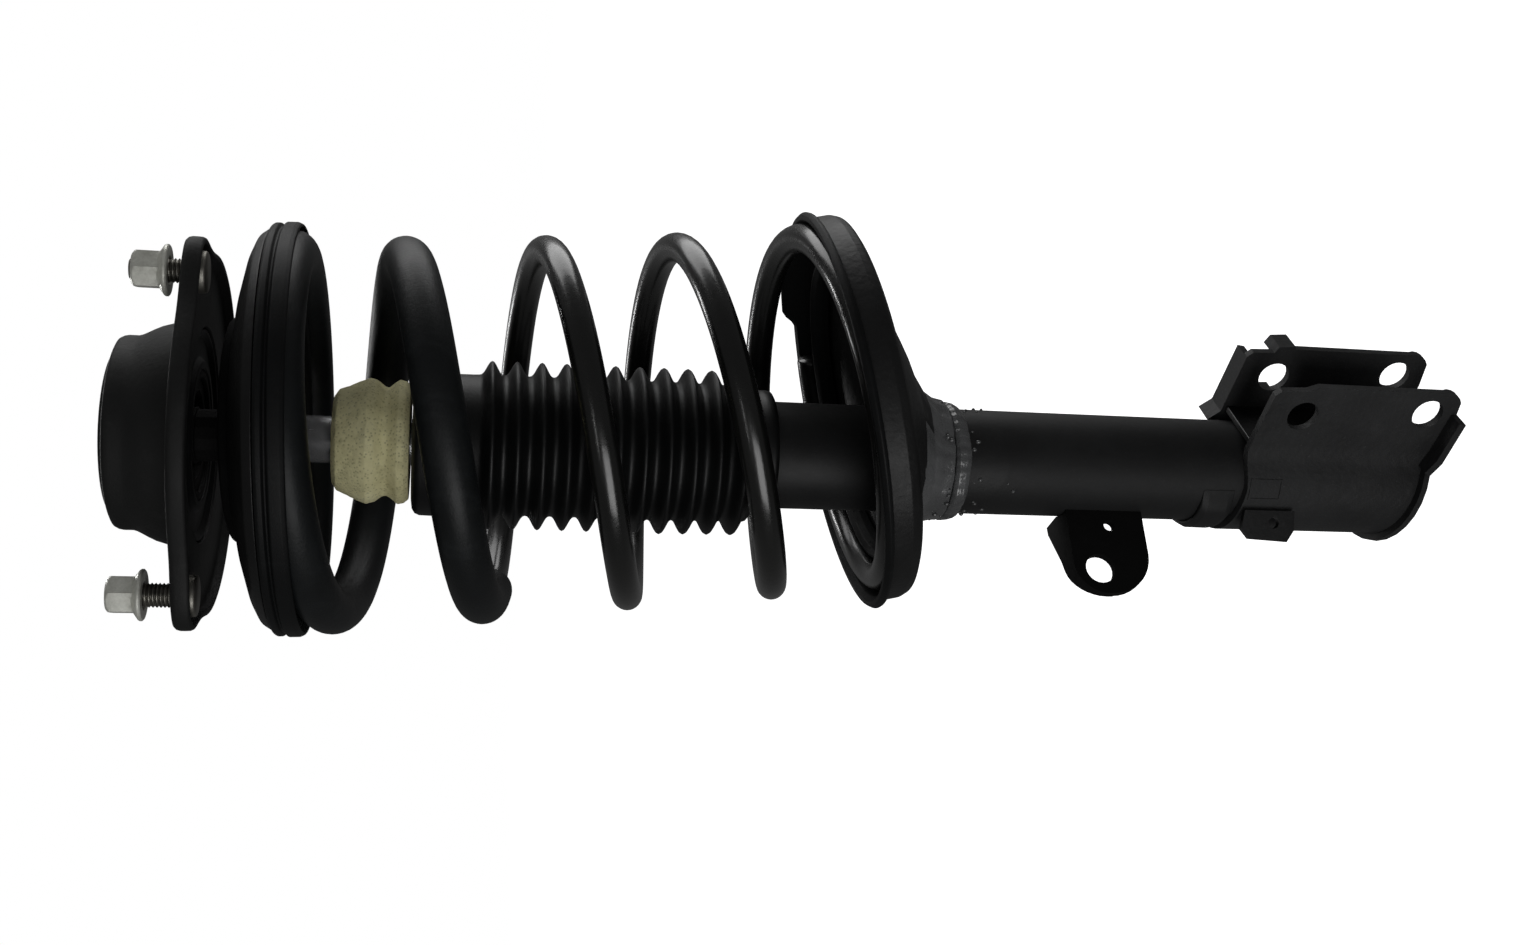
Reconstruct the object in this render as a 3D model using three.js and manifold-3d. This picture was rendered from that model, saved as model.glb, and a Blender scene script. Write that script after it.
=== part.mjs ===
// MacPherson strut assembly: top mount, spring seats, side-load coil spring, damper and knuckle bracket.
// Millimetres. The origin is on the strut axis, in the face that bolts up against the body.
// +Z points towards the body and +X towards the steering knuckle.
// Heights of pieces that hang below the body are written as depths below that face.
import * as THREE from 'three';
import { mergeVertices } from 'three/addons/utils/BufferGeometryUtils.js';
import Module from 'manifold-3d';

const wasm = await Module();
wasm.setup();

// ---------- driving dimensions ----------
const GAP = 0.3;                    // between pieces that touch
const ROUND = 28;                   // sides of a large turned piece
const SMALL = 14;                   // sides of a small turned piece
const HOLE_SIDES = 24;

const STUD_CIRCLE_R = 74.4;         // three body studs
const STUD_AZIMUTH = 5;
const STUD_COUNT = 3;
const STUD_R = 5;
const STUD_LENGTH = 21;             // above the plate
const STUD_HEAD_R = 8.5;
const STUD_HEAD_H = 4.6;
const NUT_FLATS = 14;
const NUT_HEIGHT = 13.9;
const NUT_FLANGE_R = 10.35;
const NUT_LIFTS = [6, 11.6, 9];     // how far each nut is run on, above the plate
const ROD_NUT_FLATS = 22;

const PLATE_T = 3.6;
const PLATE_R = 76;
const LOBE_RISE = 12.4;             // how far each stud lobe stands out of the disc
const LOBE_SPREAD = 13;             // degrees
const RIM_DEPTH = 7.6;
const CUP_FOOT_R = 48.5;
const CUP_MOUTH_R = 35;
const CUP_TOP = 30;
const CAP_R = 34.6;
const CAP_TOP = 32.6;

const COIL_AZIMUTH = 35;            // the wire's turns are counted from this side
const LEAN_AZIMUTH = 19;            // the spring bows and its lower seat rises to this side
const ROD_R = 10;
const ROD_THREAD_R = 7;
const TUBE_R = 24;
const TUBE_WALL = 2;
const TUBE_TOP = 236;               // depths
const TUBE_END = 549;
const STROKE_STOP = 262;            // where the rebound ring rests at full length
const PISTON_DEPTH = 292;
const PRESSURE_R = 16.5;
const PRESSURE_WALL = 1.5;

const WIRE_R = 6.5;
const SLEEVE_R = 10;
const SLEEVE_BORE_R = 8;
const COIL_R_SLEEVED = 75;          // to the wire's centre
const COIL_R = 76;
const COIL_START = -0.85;           // half turns, counted from the top of the spring's lean side
const COIL_END = 9.62;
const SLEEVE_HALF_TURNS = 3.95;
const HALF_TURN_STEPS = 10;
const HALF_PITCH = 29.9;
const UPPER_WIRE_DEPTH = 41;        // wire centre on the upper seat
const LOWER_WIRE_DEPTH = 279.4;

const SEAT_R = 87;
const UPPER_TILT = 2;
const UPPER_OFFSET = 3.5;
const UPPER_PIVOT = 38;
const LOWER_TILT = 13;
const LOWER_OFFSET = 23.5;
const LOWER_PIVOT = 285;

const LIP_LOW_FROM = 91;             // azimuths between which the lower rubber's lip is low
const LIP_LOW_TO = 150;

const SHEET_T = 3.5;
const EAR_GAP = 30;
const EAR_REACH = 62;
const WRAP_R = TUBE_R + GAP;
const BOLT_HOLE_R = 7.4;
const BOLT_UPPER = { depth: 484.5, reach: 44.1 };
const BOLT_LOWER = { depth: 546, reach: 47.9 };
const LIP_WIDTH = 8;
const WRAP_STEPS = 28;
const JOIN_R = 20;                  // where an ear meets the wrap

const HOSE_LUG_AZIMUTH = 35;
const HOSE_LUG_T = 2.6;
const HOSE_LUG_OFFSET = 22;

const TAB_AZIMUTH = -118;
const TAB_T = 4;
const TAB_FLANGE_T = 3.6;
const TAB_TOP = 383;
const TAB_BOTTOM = 420;
const TAB_HOLE = { depth: 395.5, reach: 53, r: 7 };

// ---------- helpers ----------
const radians = THREE.MathUtils.degToRad;
const { smoothstep } = THREE.MathUtils;

// A closed mesh with shared vertices and its faces pointing out.
function closed(geometry) {
  const bare = geometry.index ? geometry.toNonIndexed() : geometry.clone();
  bare.deleteAttribute('normal');
  bare.deleteAttribute('uv');
  const merged = mergeVertices(bare, 1e-3);
  const place = merged.attributes.position;
  const kept = [];
  let volume = 0;
  const corner = [new THREE.Vector3(), new THREE.Vector3(), new THREE.Vector3()];
  for (let i = 0; i < merged.index.count; i += 3) {
    const ids = [0, 1, 2].map((n) => merged.index.getX(i + n));
    if (ids[0] === ids[1] || ids[1] === ids[2] || ids[2] === ids[0]) continue;
    corner.forEach((c, n) => c.fromBufferAttribute(place, ids[n]));
    volume += corner[0].dot(corner[1].clone().cross(corner[2]));
    kept.push(ids);
  }
  const ordered = volume < 0 ? kept.map(([a, b, c]) => [a, c, b]) : kept;
  merged.setIndex(ordered.flat());
  return merged;
}

function solid(geometry) {
  const mesh = closed(geometry);
  return new wasm.Manifold(new wasm.Mesh({
    numProp: 3,
    vertProperties: new Float32Array(mesh.attributes.position.array),
    triVerts: new Uint32Array(mesh.index.array),
  }));
}

function geometryOf(manifold) {
  const mesh = manifold.getMesh();
  const geometry = new THREE.BufferGeometry();
  geometry.setAttribute('position', new THREE.BufferAttribute(new Float32Array(mesh.vertProperties), 3));
  geometry.setIndex(Array.from(mesh.triVerts));
  return geometry;
}

// A closed outline of [radius, height] points turned about Z.
function turned(outline, sides = ROUND) {
  const points = [...outline, outline[0]].map(([r, h]) => new THREE.Vector2(r, h));
  return closed(new THREE.LatheGeometry(points, sides).rotateX(Math.PI / 2));
}

// The same, with depths below the body face.
function hung(outline, sides = ROUND) {
  return turned(outline.map(([r, depth]) => [r, -depth]), sides);
}

function ring(inner, outer, from, to, sides = ROUND) {
  return hung([[inner, from], [outer, from], [outer, to], [inner, to]], sides);
}

// Points of an arc from one angle to another, in degrees.
function arc(cx, cy, r, from, to, steps) {
  return Array.from({ length: steps + 1 }, (_, i) => {
    const a = radians(from + (to - from) * i / steps);
    return [cx + r * Math.cos(a), cy + r * Math.sin(a)];
  });
}

function shapeOf(points) {
  const corners = points.map(([x, y]) => new THREE.Vector2(x, y));
  if (THREE.ShapeUtils.isClockWise(corners)) corners.reverse();
  return new THREE.Shape(corners);
}

// A round hole in a shape, as a closed run of straight sides.
function pierce(shape, x, y, r, sides = HOLE_SIDES) {
  const points = arc(x, y, r, 360 - 360 / sides, 0, sides - 1);
  shape.holes.push(new THREE.Path(points.map(([px, py]) => new THREE.Vector2(px, py))));
}

function prism(shape, height, curveSegments = 12) {
  return new THREE.ExtrudeGeometry(shape, { depth: height, bevelEnabled: false, curveSegments });
}

// An outline in [reach, depth] given thickness along Y, from y0 to y1.
function sidePlate(points, y0, y1) {
  const geometry = prism(shapeOf(points.map(([reach, depth]) => [reach, -depth])), y1 - y0);
  return geometry.rotateX(Math.PI / 2).translate(0, y1, 0);
}

function hexagon(flats) {
  return shapeOf(arc(0, 0, flats / Math.sqrt(3), 0, 300, 5));
}

// The level direction that looks to an azimuth.
function toSide(azimuth) {
  return new THREE.Vector3(Math.cos(radians(azimuth)), Math.sin(radians(azimuth)), 0);
}

const leanDirection = toSide(LEAN_AZIMUTH);
const leanHinge = toSide(LEAN_AZIMUTH - 90);

// Tilts a turned seat and moves it off the strut axis. What lies inside radius `still` stays where it is.
// `first` may move each point before that.
function lean(geometry, { tilt, offset, pivot, still, free }, first = () => {}) {
  const place = geometry.attributes.position;
  const point = new THREE.Vector3();
  for (let i = 0; i < place.count; i += 1) {
    point.fromBufferAttribute(place, i);
    first(point);
    const share = smoothstep(Math.hypot(point.x, point.y), still, free);
    point.z += pivot;
    point.applyAxisAngle(leanHinge, radians(tilt) * share);
    point.addScaledVector(leanDirection, offset * share);
    point.z -= pivot;
    place.setXYZ(i, point.x, point.y, point.z);
  }
  return geometry;
}

const upperLean = { tilt: UPPER_TILT, offset: UPPER_OFFSET, pivot: UPPER_PIVOT, still: 20, free: 44 };
const lowerLean = { tilt: LOWER_TILT, offset: LOWER_OFFSET, pivot: LOWER_PIVOT, still: 25, free: 60 };

// ---------- the part and its materials ----------
const strut = new THREE.Group();
const paint = { color: 0x17181a, roughness: 0.5, metalness: 0.2 };
const bracketPaint = { color: 0x2b2c2e, roughness: 0.55, metalness: 0.2 };
const gloss = { color: 0x0c0d0e, roughness: 0.25, metalness: 0.1 };
const rubber = { color: 0x1d2022, roughness: 0.85, metalness: 0 };
const zinc = { color: 0xbfc3bd, roughness: 0.35, metalness: 0.9 };
const steel = { color: 0x9a9c9e, roughness: 0.3, metalness: 0.9 };
const foam = { color: 0xb7ad84, roughness: 0.9, metalness: 0 };
const nylon = { color: 0xd8d4c4, roughness: 0.6, metalness: 0 };

function add(name, geometry, finish, azimuth = 0) {
  const mesh = new THREE.Mesh(closed(geometry), new THREE.MeshStandardMaterial(finish));
  mesh.name = name;
  mesh.rotation.z = radians(azimuth);
  strut.add(mesh);
}

// ---------- top mount ----------
// A disc with a smooth lobe at each stud, drawn in by `inset`.
function lobedShape(inset) {
  const sides = 42;
  return shapeOf(Array.from({ length: sides }, (_, i) => {
    const azimuth = 360 * i / sides;
    const away = Math.abs(((azimuth + 60) % 120) - 60);
    const r = PLATE_R - inset + LOBE_RISE * Math.exp(-((away / LOBE_SPREAD) ** 2));
    return arc(0, 0, r, azimuth, azimuth, 1)[0];
  }));
}

function mountPlate() {
  const sheet = solid(prism(lobedShape(0), PLATE_T).translate(0, 0, -PLATE_T));
  const skirt = solid(prism(lobedShape(0), RIM_DEPTH).translate(0, 0, -RIM_DEPTH));
  const inside = solid(prism(lobedShape(3), RIM_DEPTH).translate(0, 0, -RIM_DEPTH - PLATE_T));
  const cup = solid(turned([
    [51, 0], [CUP_FOOT_R, 1.6], [47.5, 5], [45, 13], [41.6, 19.5], [40.6, 22.5], [40.6, 27.8],
    [38.6, CUP_TOP], [CUP_MOUTH_R, CUP_TOP], [CUP_MOUTH_R, 27.2], [37.6, 26.6], [38, 20.4],
    [42.2, 12], [44.6, 4], [45.4, -PLATE_T], [51, -PLATE_T],
  ]));
  const mouth = solid(ring(0, 47, -10, 10));
  let plate = sheet.add(skirt.subtract(inside)).subtract(mouth).add(cup);
  for (let i = 0; i < STUD_COUNT; i += 1) {
    const [x, y] = arc(0, 0, STUD_CIRCLE_R, 360 / STUD_COUNT * i, 0, 1)[0];
    plate = plate.subtract(solid(ring(0, STUD_R + GAP, -9, 9, SMALL).translate(x, y, 0)));
  }
  return geometryOf(plate);
}

function bodyStud() {
  const top = STUD_LENGTH;
  const seat = -PLATE_T - GAP;
  const bottom = seat - STUD_HEAD_H;
  return turned([
    [0, top], [STUD_R - 1, top], [STUD_R, top - 1], [STUD_R, seat], [STUD_HEAD_R, seat],
    [STUD_HEAD_R, bottom + 1], [STUD_HEAD_R - 1, bottom], [0, bottom],
  ], SMALL);
}

// A hexagon with its upper corners turned off, a flange under it and a plain bore.
function flangeNut(flats, height, flangeR, boreR) {
  const cornerR = flats / Math.sqrt(3);
  const flange = 2.6;
  const body = solid(prism(hexagon(flats), height));
  const turnedOff = solid(turned([
    [0, 0], [cornerR + 1, 0], [cornerR + 1, height - 2.5], [flats / 2 - 0.6, height], [0, height],
  ], SMALL));
  const foot = solid(turned([
    [0, 0], [flangeR, 0], [flangeR, 1.2], [flats / 2, flange + 1], [0, flange + 1],
  ], SMALL));
  const bore = solid(turned([[0, -1], [boreR, -1], [boreR, height + 1], [0, height + 1]], SMALL));
  return geometryOf(body.intersect(turnedOff).add(foot).subtract(bore));
}

add('mount_plate', mountPlate(), paint, STUD_AZIMUTH);
NUT_LIFTS.forEach((lift, i) => {
  const azimuth = STUD_AZIMUTH - 120 * i;
  add(`body_stud_${i + 1}`, bodyStud().translate(STUD_CIRCLE_R, 0, 0), zinc, azimuth);
  const nut = flangeNut(NUT_FLATS, NUT_HEIGHT, NUT_FLANGE_R, STUD_R + GAP);
  add(`body_nut_${i + 1}`, nut.translate(STUD_CIRCLE_R, 0, lift), zinc, azimuth);
});

const housingR = 27.4;
const raceOuterR = 24;
add('mount_rubber', turned([
  [housingR + GAP, -3], [44.6, -3], [44.2, 3.4], [41.8, 11.6], [37.5, 20.2], [37.2, 25.4],
  [housingR + GAP, 25.4],
]), rubber);
add('bearing_housing', turned([
  [raceOuterR + GAP, -2.5], [housingR, -2.5], [housingR, 20.5], [16, 20.5], [16, 17.8],
  [raceOuterR + GAP, 17.8],
]), paint);
add('bearing_outer_race', ring(19, raceOuterR, -14, 1, SMALL), steel);
add('bearing_ball_ring', turned(arc(15.4, 6.5, 2.8, 0, 315, 7), SMALL), steel);
add('bearing_inner_race', ring(ROD_THREAD_R + GAP, 12, -14, 1, SMALL), steel);
add('dust_cap', turned([
  [0, 30], [29, 29], [31, 27.4], [34.4, 27.4], [34.4, 30.3], [CAP_R, 30.6], [33.4, 31.8],
  [14, CAP_TOP], [0, CAP_TOP],
]), rubber);
add('bearing_spacer', ring(ROD_THREAD_R + GAP, 11, 1.3, 14.7, SMALL), steel);
add('rod_washer', ring(ROD_THREAD_R + GAP, 13.5, -16.7, -14.3, SMALL), zinc);
add('rod_nut', flangeNut(ROD_NUT_FLATS, 10.5, 13.2, ROD_THREAD_R + GAP).translate(0, 0, 17), zinc);

// ---------- upper spring seat ----------
function upperSeat() {
  return lean(hung([
    [ROD_THREAD_R + GAP, 15], [43, 15], [46.5, 16], [49, 19.5], [64, 22.5], [76.6, 26.2], [82.3, 29],
    [85, 33], [83, 33], [80.6, 30.7], [75.9, 28.4], [63.5, 24.7], [47.6, 21.6], [44.6, 18.4], [42, 17.4],
    [ROD_THREAD_R + GAP, 17.4],
  ]), upperLean);
}

// The rubber is cut to a half-round groove that the sleeved wire lies in.
function upperIsolator() {
  const groove = SLEEVE_R + 1.5;
  return lean(hung([
    [62, 24.9], [75.6, 28.8], [80.4, 31.1], [82.6, 33.4], [86.2, 33.4], [SEAT_R, 34.6], [SEAT_R, 36.2],
    [85.9, 37], [85.9, 37.8], [SEAT_R + 0.4, 38.8], [SEAT_R + 0.4, 43], [86.4, 45.2], [85.3, 45.2],
    ...arc(COIL_R_SLEEVED, UPPER_WIRE_DEPTH + 0.6, groove, 0, -180, 6),
    [60.6, 41], [59, 38], [59, 26],
  ]), upperLean);
}

add('upper_spring_seat', upperSeat(), paint);
add('upper_seat_isolator', upperIsolator(), rubber);

// ---------- rod, piston and bump stop ----------
const rodTailR = 6;
const pistonBoreR = rodTailR + GAP;
const pistonR = PRESSURE_R - PRESSURE_WALL - GAP;
const pistonEnd = PISTON_DEPTH + 20;
add('piston_rod', hung([
  [0, -28.8], [6, -28.8], [ROD_THREAD_R, -27.8], [ROD_THREAD_R, 17.7], [ROD_R, 17.7],
  [ROD_R, PISTON_DEPTH], [rodTailR, PISTON_DEPTH], [rodTailR, pistonEnd + 14], [0, pistonEnd + 14],
], SMALL), steel);
add('rebound_stop', ring(ROD_R + GAP, 14, STROKE_STOP + GAP, STROKE_STOP + 10, SMALL), nylon);
add('piston', hung([
  [pistonBoreR, PISTON_DEPTH + GAP], [pistonR - 1, PISTON_DEPTH + GAP], [pistonR, PISTON_DEPTH + 2],
  [pistonR, pistonEnd - 1], [pistonR - 1, pistonEnd], [pistonBoreR, pistonEnd],
], SMALL), steel);
const pistonNut = flangeNut(17, 9, 9.8, pistonBoreR);
add('piston_nut', pistonNut.rotateX(Math.PI).translate(0, 0, -pistonEnd - GAP), zinc);
add('bump_stop', hung([
  [ROD_R + GAP, 56], [19.5, 56], [21.5, 57.5], [24.5, 65], [27, 70.5], [26.4, 73.5], [22.6, 78.5],
  [26.6, 83.5], [26.2, 86], [24.5, 88.4], [ROD_R + GAP, 88.4],
], SMALL), foam);

function dustBoot() {
  const pleatPitch = 10.7;
  const pleats = 11;
  const firstPeak = 122;
  const outline = [
    [10.4, 89.2], [27, 89.2], [31.5, 91.5], [31.5, 101], [30.4, 103.5], [30.4, firstPeak - 5.5],
  ];
  for (let i = 0; i < pleats; i += 1) {
    outline.push([36.8, firstPeak + pleatPitch * i]);
    outline.push([30.6, firstPeak + pleatPitch * (i + 0.5)]);
  }
  outline.push([28.6, 241.5], [28.6, 248], [26.4, 248], [26.4, 240], [28.4, 234], [28.4, 94], [10.4, 92]);
  return hung(outline, 18);
}

add('dust_boot', dustBoot(), rubber);

// ---------- coil spring ----------
class CoilLine extends THREE.Curve {
  constructor(from, to) {
    super();
    this.from = from;
    this.to = to;
  }

  getPoint(t, target = new THREE.Vector3()) {
    const turn = this.from + (this.to - this.from) * t;
    const depth = wireDepth(turn);
    const azimuth = radians(COIL_AZIMUTH) - Math.PI * turn;
    const side = LEAN_AZIMUTH + 9 * smoothstep(turn, 0.5, 2.5) * (1 - smoothstep(turn, 7.2, 8.6));
    const r = wireRadius(turn);
    target.set(r * Math.cos(azimuth), r * Math.sin(azimuth), 0);
    target.applyAxisAngle(toSide(side - 90), radians(wireTilt(turn)));
    target.addScaledVector(toSide(side), bow(depth));
    target.z -= depth;
    return target;
  }
}

// The wire's winding isn't quite round: it stands out in two places and in at one.
function wireRadius(turn) {
  const bulge = (at, width, size) => size * Math.exp(-(((turn - at) / width) ** 2));
  const even = COIL_R_SLEEVED + (COIL_R - COIL_R_SLEEVED) * smoothstep(turn, 2.9, 4);
  return even + bulge(1.05, 0.4, 1.6) - bulge(2, 0.45, 2.4) + bulge(7.95, 0.35, 1.5);
}

// Depth of the spring's own axis, by half turns: flat on both seats, with an even pitch between.
function wireDepth(turn) {
  const leave = 0.3;
  const climb = 1.39;
  const land = 7.8;
  const rest = 8.6;
  const evenFrom = 0.445;
  const even = (n) => UPPER_WIRE_DEPTH + HALF_PITCH * (n - evenFrom);
  if (turn < leave) return UPPER_WIRE_DEPTH;
  if (turn > rest) return LOWER_WIRE_DEPTH;
  const topRise = even(climb) - UPPER_WIRE_DEPTH;
  const endRise = LOWER_WIRE_DEPTH - even(land);
  if (turn > land) return LOWER_WIRE_DEPTH - eased(rest - turn, rest - land, endRise);
  if (turn > climb) return even(turn);
  return UPPER_WIRE_DEPTH + eased(turn - leave, climb - leave, topRise);
}

// A rise over `span` half turns that starts flat and ends at the even pitch.
function eased(turn, span, rise) {
  const t = turn / span;
  return (rise * (3 - 2 * t) + HALF_PITCH * span * (t - 1)) * t ** 2;
}

function wireTilt(turn) {
  const active = Math.max(0, turn - 3);
  const early = 1.5 * smoothstep(turn, 0, 1.5);
  return Math.min(LOWER_TILT, UPPER_TILT + early + 0.55 * active + 0.172 * active ** 2);
}

function bow(depth) {
  const below = depth - UPPER_PIVOT;
  return 3 + 0.045 * below + 0.00013 * below ** 2 + 0.8 * smoothstep(below, 195, 225);
}

function along(line, outerR, innerR, steps) {
  const section = shapeOf(arc(0, 0, outerR, 0, 300, 5));
  if (innerR) pierce(section, 0, 0, innerR, 6);
  return new THREE.ExtrudeGeometry(section, { steps, bevelEnabled: false, extrudePath: line });
}

const sleeveEnd = COIL_START + SLEEVE_HALF_TURNS;
const coilSteps = Math.round((COIL_END - COIL_START) * HALF_TURN_STEPS);
const sleeveSteps = Math.round(SLEEVE_HALF_TURNS * HALF_TURN_STEPS);
const wireLine = new CoilLine(COIL_START, COIL_END);
const sleeveLine = new CoilLine(COIL_START, sleeveEnd);
add('coil_spring', along(wireLine, WIRE_R, 0, coilSteps), gloss);
add('spring_sleeve', along(sleeveLine, SLEEVE_R, SLEEVE_BORE_R, sleeveSteps), rubber);

// ---------- damper ----------
const tubeBore = TUBE_R - TUBE_WALL;
add('strut_tube', hung([
  [tubeBore, TUBE_TOP + 2], [TUBE_R - 0.8, TUBE_TOP + 2], [TUBE_R, TUBE_TOP + 3], [TUBE_R, TUBE_END],
  [tubeBore, TUBE_END],
]), bracketPaint);
add('tube_top_cap', hung([
  [ROD_R + 0.4, TUBE_TOP - 2], [21, TUBE_TOP - 2], [TUBE_R, TUBE_TOP], [TUBE_R, TUBE_TOP + 1.7],
  [ROD_R + 0.4, TUBE_TOP + 1.7],
]), steel);
add('rod_seal', ring(ROD_R + 0.4, tubeBore - GAP, TUBE_TOP + 2, TUBE_TOP + 8, SMALL), rubber);
const insidePressure = PRESSURE_R - PRESSURE_WALL - GAP;
add('rod_guide', hung([
  [ROD_R + 0.4, TUBE_TOP + 8.3], [tubeBore - GAP, TUBE_TOP + 8.3], [tubeBore - GAP, STROKE_STOP - 6],
  [insidePressure, STROKE_STOP - 6], [insidePressure, STROKE_STOP], [ROD_R + 0.4, STROKE_STOP],
], SMALL), steel);
const pressureTop = STROKE_STOP - 6 + GAP;
const pressureEnd = TUBE_END - 15;
add('pressure_tube', ring(PRESSURE_R - PRESSURE_WALL, PRESSURE_R, pressureTop, pressureEnd, SMALL), steel);
add('base_valve', hung([
  [0, pressureEnd - 9], [insidePressure, pressureEnd - 9], [insidePressure, pressureEnd + GAP],
  [18, pressureEnd + GAP], [18, TUBE_END - 5], [0, TUBE_END - 5],
], SMALL), steel);
add('tube_base_cap', hung([
  [0, TUBE_END - 4.7], [tubeBore - GAP, TUBE_END - 4.7], [tubeBore - GAP, TUBE_END + GAP],
  [TUBE_R, TUBE_END + GAP], [TUBE_R - 1.5, TUBE_END + 3], [0, TUBE_END + 3],
]), bracketPaint);

// ---------- lower spring seat ----------
function lowerSeat() {
  const neck = TUBE_R + GAP;
  return lean(hung([
    [neck, 325], [neck + 2.6, 325], [27.6, 320], [30.5, 314.5], [36, 308.5], [44, 303], [54, 296.5],
    [62, 292], [70, 290.8], [81.5, 290.8], [85.6, 288.8], [SEAT_R, 285], [SEAT_R, 276.5], [85.3, 276.5],
    [85.3, 284.8], [81.8, 288], [70, 288], [61, 288.8], [52.6, 292.8], [42.6, 299.4], [34, 304.9],
    [27.6, 311.8], [neck, 318],
  ]), lowerLean);
}

// The lip of the lower rubber is low over one stretch and swells at its end there.
function lowerLip(point) {
  const foot = -276.1;
  if (point.z < foot) return;
  const azimuth = THREE.MathUtils.radToDeg(Math.atan2(point.y, point.x));
  const past = smoothstep(azimuth, LIP_LOW_FROM - 3, LIP_LOW_FROM + 3);
  const low = past * (1 - smoothstep(azimuth, LIP_LOW_TO - 3, LIP_LOW_TO + 3));
  const swell = smoothstep(azimuth, LIP_LOW_FROM - 26, LIP_LOW_FROM - 14) * (1 - past);
  point.z = foot + (point.z - foot) * (1 - 0.75 * low + 0.8 * swell);
}

function lowerIsolator() {
  const groove = WIRE_R + 1.5;
  const wire = LOWER_WIRE_DEPTH;
  return lean(hung([
    [64, 287.7], [81.6, 287.7], [85, 284.6], [85, 276.2], [89.4, 276.2], [90, 274.6], [88.6, 272.6],
    [86.6, 272.6], [84.6, 275.4], ...arc(COIL_R, wire, groove, 0, 180, 5),
    [68.4, wire - 0.6], [66, wire + 2], [64, wire + 5],
  ]), lowerLean, lowerLip);
}

add('lower_spring_seat', lowerSeat(), bracketPaint);
add('lower_seat_isolator', lowerIsolator(), rubber);
add('seat_weld', hung([
  [TUBE_R + GAP, 325.3], [TUBE_R + 2.4, 325.3], [TUBE_R + 3.2, 327.5], [TUBE_R + 2.6, 331],
  [TUBE_R + GAP, 333],
]), bracketPaint);

// ---------- knuckle bracket ----------
// Section across the strut: a sheet wrapped round the back of the tube, with an ear on each side.
function bracketSection() {
  const inside = EAR_GAP / 2;
  const outside = inside + SHEET_T;
  const outerR = WRAP_R + SHEET_T;
  const innerAngle = THREE.MathUtils.radToDeg(Math.asin(inside / WRAP_R));
  const joinY = outside + JOIN_R;
  const joinX = Math.sqrt((outerR + JOIN_R) ** 2 - joinY ** 2);
  const joinAngle = THREE.MathUtils.radToDeg(Math.atan2(joinY, joinX));
  return shapeOf([
    [EAR_REACH, outside], ...arc(joinX, joinY, JOIN_R, -90, joinAngle - 180, 6),
    ...arc(0, 0, outerR, joinAngle, 360 - joinAngle, WRAP_STEPS).slice(1, -1),
    ...arc(joinX, -joinY, JOIN_R, 180 - joinAngle, 90, 6), [EAR_REACH, -outside],
    [EAR_REACH, -inside], ...arc(0, 0, WRAP_R, 360 - innerAngle, innerAngle, WRAP_STEPS),
    [EAR_REACH, inside],
  ]);
}

const earSide = [
  [-30, 463], [8, 466], [24, 464], [54.4, 467.5], [56.8, 470], [57.3, 482.7], [59.6, 488.1], [59.5, 550.7],
  ...arc(51, 552.2, 9, 0, 65, 4), [43, 561], [26.6, 558.4], [18, 554.5],
  [-8, 550], [-30, 547],
];

function knuckleBracket() {
  const top = 460;
  const bottom = 566;
  const inside = EAR_GAP / 2;
  const outside = inside + SHEET_T;
  const lipEnd = outside + LIP_WIDTH;
  const side = solid(sidePlate(earSide, -40, 40));
  const pressing = solid(prism(bracketSection(), bottom - top).translate(0, 0, -bottom));
  const lips = [
    sidePlate([
      [48, 561.4], [26, 558.4], [19, 554.8], [20.6, 551.6], [27.6, 555], [48.4, 557.9],
    ], -lipEnd, -inside),
    sidePlate([
      [54, 467.4], [24, 464], [19, 458.5], [17, 461.5], [23, 467.5], [53.6, 470.9],
    ], inside, lipEnd),
    sidePlate([[56.2, 480], [60.4, 482], [61, 490], [56.5, 491]], inside, lipEnd),
    sidePlate([[30, 479], [34, 480], [34.5, 489], [30.5, 490]], inside, lipEnd),
  ];
  const flare = solid(
    hung([[WRAP_R, 0], [31.6, 0], [31.6, 3], [WRAP_R, 3]]).rotateY(0.19).translate(0, 0, -549.5),
  );
  const slot = solid(new THREE.BoxGeometry(60, 2 * outside - 0.2, 60).translate(50, 0, -550));
  const drills = [BOLT_UPPER, BOLT_LOWER].map(({ reach, depth }) => solid(
    ring(0, BOLT_HOLE_R, -60, 60, HOLE_SIDES).rotateX(Math.PI / 2).translate(reach, 0, -depth),
  ));
  const tubeRoom = solid(ring(0, WRAP_R, 440, 600));
  let bracket = pressing.intersect(side);
  for (const lip of lips) bracket = bracket.add(solid(lip));
  bracket = bracket.add(flare.subtract(slot));
  for (const cut of [...drills, tubeRoom]) bracket = bracket.subtract(cut);
  return geometryOf(bracket);
}

function bracketWeb() {
  const half = EAR_GAP / 2 - GAP;
  return new THREE.BoxGeometry(3, 2 * half, 84).translate(TUBE_R + GAP + 1.5, 0, -508);
}

// A short band behind the tube where the wrap ends.
function bracketCollar() {
  const band = solid(hung([
    [WRAP_R, 446.5], [26.2, 446.5], [27.4, 449], [27.4, 459.5], [26.6, 462], [WRAP_R, 462],
  ]));
  const front = solid(new THREE.BoxGeometry(60, 60, 40).translate(34, 0, -455));
  return geometryOf(band.subtract(front));
}

add('knuckle_bracket', knuckleBracket(), bracketPaint);
add('bracket_web', bracketWeb(), bracketPaint);
add('bracket_collar', bracketCollar(), bracketPaint);

// A flat lug for a hose clip, standing off the side of the wrap.
function hoseBracket() {
  const outline = shapeOf([
    [-18, -466], [-27, -464.5], [-31.5, -468.5], [-32.5, -487.5], [-27, -491], [-18, -491],
  ]);
  pierce(outline, -23.7, -480.6, 2.6);
  return prism(outline, HOSE_LUG_T).rotateX(Math.PI / 2).translate(0, -HOSE_LUG_OFFSET, 0);
}

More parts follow.
